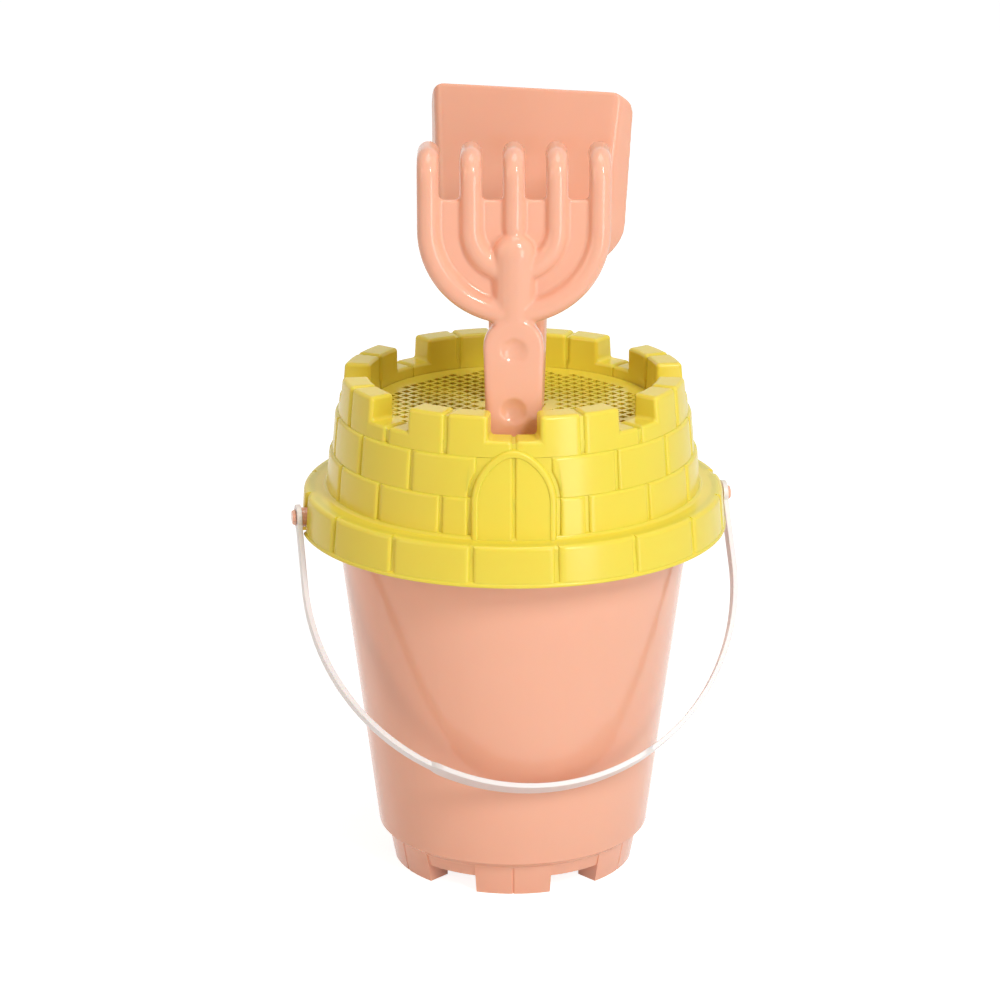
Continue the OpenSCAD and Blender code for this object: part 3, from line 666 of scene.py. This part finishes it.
def makeSpade():
    k = sandSpade
    flare = math.radians(k["flare"])

    def size(z, edge, heel, low):
        # straight above and below the heel, with a soft bend between
        rise = (edge - heel) / (k["edgeZ"] - k["heelZ"])
        fall = (heel - low) / (k["heelZ"] - k["lowZ"])
        over = z - k["heelZ"]
        if abs(over) >= k["heelSoft"]:
            return heel + over * (rise if over > 0 else fall)
        t = (over / k["heelSoft"] + 1) / 2
        return heel + k["heelSoft"] * (t * t * rise - (1 - t) ** 2 * fall)

    # each column is a share of the section: rear edge, flank, fold, flat, fold, flank, rear edge
    flank = [("flank", t) for t in (1, 0.8, 0.6, 0.4, 0.2)]
    fold = [("fold", t) for t in (0, 0.2, 0.4, 0.6, 0.8, 1)]
    flat = [("flat", t / 6) for t in range(5, 0, -1)]
    columns = [(-1, *c) for c in flank + fold + flat] + [(1, "flat", 0)]
    columns += [(1, *c) for c in (flank + fold + flat)[::-1]]
    rows = [k["lowZ"], 0, 8, 16, 24, 29, 32, 34, 36, 38, 40, 42, 45, 50, 58, 66, 74, 82]   # closest at the heel
    rows += [88, 92, 95, 97, 99, 101, 102.5, 103.7, k["edgeZ"]]   # and at the round corners
    halfTop = k["edgeW"] / 2 + k["edgeDepth"] * math.tan(flare)

    def onSection(z, column):
        side, kind, t = column
        half = size(z, k["edgeW"], k["heelW"], k["lowW"]) / 2
        depth = size(z, k["edgeDepth"], k["heelDepth"], k["lowDepth"])
        foldX = half - k["foldR"] * math.tan(math.pi / 4 - flare / 2)
        if kind == "flat":
            return side * foldX * t, 0
        if kind == "fold":
            turn = (1 - t) * (math.pi / 2 - flare)
            return side * (foldX + k["foldR"] * math.sin(turn)), k["foldR"] - k["foldR"] * math.cos(turn)
        y0 = k["foldR"] * (1 - math.sin(flare))
        y = y0 + (depth - y0) * t
        return side * (half + y * math.tan(flare)), y

    def place(row, column):
        z = rows[row]
        x, y = onSection(z, columns[column])
        over = abs(x) - (halfTop - k["cornerR"])
        if over > 0 and z > k["heelZ"]:
            limit = k["edgeZ"] - k["cornerR"] + math.sqrt(max(0, k["cornerR"] ** 2 - over ** 2))
            z = k["heelZ"] + (z - k["heelZ"]) * (limit - k["heelZ"]) / (k["edgeZ"] - k["heelZ"])
            x, y = onSection(z, columns[column])
        return (x, y, z)

    blade = loftGrid("blade", len(rows), len(columns), place)
    if sum(p.normal.y * p.area for p in blade.data.polygons) > 0:
        blade.data.flip_normals()
    applyModifier(blade, "SOLIDIFY", thickness=k["wall"] * mm, offset=-1, use_even_offset=True)
    blade.data.transform(Matrix.Translation((0, k["frontY"] * mm, 0))
                         @ Matrix.Rotation(math.radians(-k["tilt"]), 4, "X"))
    spade = joinAll([makeHandle("spadeHandle"), blade], "sandSpade")
    meltTogether(spade, k["voxel"], k["fillet"], k["smoothing"])
    spade.data.transform(Matrix.Translation((k["offX"] * mm, 0, k["shoulderZ"] * mm))
                         @ Matrix.Rotation(math.radians(k["turn"]), 4, "Z"))
    return spade


for maker, body in ((makeRake, "rake"), (makeSpade, "spade")):
    tool = maker()
    paint(tool, apricotPlastic)
    finishShade(tool, 60)
    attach(tool, body)
    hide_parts(body)
    print(tool.name, len(tool.data.polygons), "faces")


# bucket and bail: the plain solids with their edges rounded as far as short edges beside them allow,
# which leaves the bucket nearly sharp

edgeRounds = {"bucket": 0.7, "bail": 0.55}


def softenedCopy(node, name, width):
    obj = bpy.data.objects.new(name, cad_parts[node].data.copy())
    bpy.context.collection.objects.link(obj)
    editMode(obj)
    cleanUp(0.002)
    flatWithin, sharpOver = math.radians(0.5), math.radians(32)
    bpy.ops.mesh.dissolve_limited(angle_limit=flatWithin)
    objectMode()
    applyModifier(obj, "BEVEL", width=width * mm, segments=3, limit_method="ANGLE", angle_limit=sharpOver,
                  use_clamp_overlap=True)
    return obj


for node, name, mat, slotName in (("bucket", "castleBucket", apricotPlastic, "apricot_plastic"),
                                  ("bail", "bucketBail", whitePlastic, "white_plastic")):
    piece = softenedCopy(node, name, edgeRounds[node])
    paint(piece, mat)
    finishShade(piece, 40)
    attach(piece, node)
    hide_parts(node)
    print(name, len(piece.data.polygons), "faces")

paint(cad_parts["sieve_mesh"], yellowPlastic)
print("finishes set")


# floor, light and camera

studio = {
    "cameraX": -6.2, "cameraY": -1590.9, "cameraZ": 675.9, "pitch": 17.435, "lens": 127.39, "sensor": 36, "far": 50,
    "floorSize": 14, "floorY": 3, "floorLit": 0.8, "floorSeen": 0.5, "floorLift": 0.86,
    "worldStrength": 0.26, "shadeTint": (1.0, 0.92, 0.86),
}
softboxes = {
    "keyBox": {"place": (0.75, -1.25, 1.25), "aim": (0, 0, 0.18), "size": (0.3, 0.5), "power": 13},
    "fillBox": {"place": (-1.3, -0.7, 0.6), "aim": (0, 0, 0.18), "size": (0.8, 1.0), "power": 4.8,
                "tint": (1.0, 0.78, 0.62)},   # a little warmth in the shade
    "topBox": {"place": (0.1, -0.1, 1.7), "aim": (0, 0, 0.18), "size": (0.8, 0.8), "power": 7.5},
    "sideBox": {"place": (0.52, -0.74, 0.27), "aim": (0, 0, 0.26), "size": (0.22, 0.5), "power": 1.9},
}


def seenRays(nodes, links):
    # 1 for what is seen directly, in a reflection or through something, and 0 for light on its way
    path = nodes.new("ShaderNodeLightPath")
    total = path.outputs["Is Camera Ray"]
    for kind in ("Is Glossy Ray", "Is Transmission Ray"):
        both = nodes.new("ShaderNodeMath")
        both.operation = "ADD"
        links.new(total, both.inputs[0])
        links.new(path.outputs[kind], both.inputs[1])
        total = both.outputs[0]
    return total


def makeStage():
    pick()
    bpy.ops.mesh.primitive_grid_add(x_subdivisions=8, y_subdivisions=8, size=studio["floorSize"],
                                    location=(0, studio["floorY"], 0))
    floor = bpy.context.object
    floor.name = "floor"
    mat = bpy.data.materials.new("paleFloor")
    mat.use_nodes = True
    nodes, links = mat.node_tree.nodes, mat.node_tree.links
    shader = nodes["Principled BSDF"]
    shader.inputs["Roughness"].default_value = 0.85
    shader.inputs["Specular IOR Level"].default_value = 0.1
    # where it is seen the floor is lifted to white, and it still takes the shadow
    seen = seenRays(nodes, links)
    tone = nodes.new("ShaderNodeMapRange")
    tone.inputs["To Min"].default_value = studio["floorLit"]
    tone.inputs["To Max"].default_value = studio["floorSeen"]
    links.new(seen, tone.inputs["Value"])
    links.new(tone.outputs["Result"], shader.inputs["Base Color"])
    lift = nodes.new("ShaderNodeMath")
    lift.operation = "MULTIPLY"
    lift.inputs[1].default_value = studio["floorLift"]
    links.new(seen, lift.inputs[0])
    shader.inputs["Emission Color"].default_value = (1, 1, 1, 1)
    links.new(lift.outputs[0], shader.inputs["Emission Strength"])
    paint(floor, mat)


def makeWorld():
    world = bpy.data.worlds.new("paleStudio")
    bpy.context.scene.world = world
    world.use_nodes = True
    nodes, links = world.node_tree.nodes, world.node_tree.links
    back = nodes["Background"]
    seen = seenRays(nodes, links)
    level = nodes.new("ShaderNodeMapRange")
    level.inputs["To Min"].default_value = studio["worldStrength"]
    level.inputs["To Max"].default_value = 1.0
    links.new(seen, level.inputs["Value"])
    links.new(level.outputs["Result"], back.inputs["Strength"])
    tint = nodes.new("ShaderNodeMix")
    tint.data_type = "RGBA"
    tint.inputs["A"].default_value = (*studio["shadeTint"], 1)   # light that reaches the shade
    tint.inputs["B"].default_value = (1, 1, 1, 1)   # what is seen
    links.new(seen, tint.inputs["Factor"])
    links.new(tint.outputs["Result"], back.inputs["Color"])


def addSoftbox(name, place, aim, size, power, tint=(1, 1, 1)):
    pick()
    bpy.ops.object.light_add(type="AREA", location=place)
    lamp = bpy.context.object
    lamp.name = name
    lamp.data.shape = "RECTANGLE"
    lamp.data.size, lamp.data.size_y = size
    lamp.data.energy = power
    lamp.data.color = tint
    lamp.rotation_euler = (Vector(aim) - Vector(place)).to_track_quat("-Z", "Y").to_euler()


def makeCamera():
    pick()
    bpy.ops.object.camera_add(location=(studio["cameraX"] * mm, studio["cameraY"] * mm, studio["cameraZ"] * mm),
                              rotation=(math.radians(90 - studio["pitch"]), 0, 0))
    camera = bpy.context.object
    camera.data.sensor_width = studio["sensor"]
    camera.data.sensor_fit = "HORIZONTAL"
    camera.data.lens = studio["lens"]
    camera.data.clip_end = studio["far"]
    bpy.context.scene.camera = camera


makeStage()
makeWorld()
for boxName, box in softboxes.items():
    addSoftbox(boxName, **box)
makeCamera()
bpy.context.scene.view_settings.view_transform = "Standard"
print("stage, light and camera set")
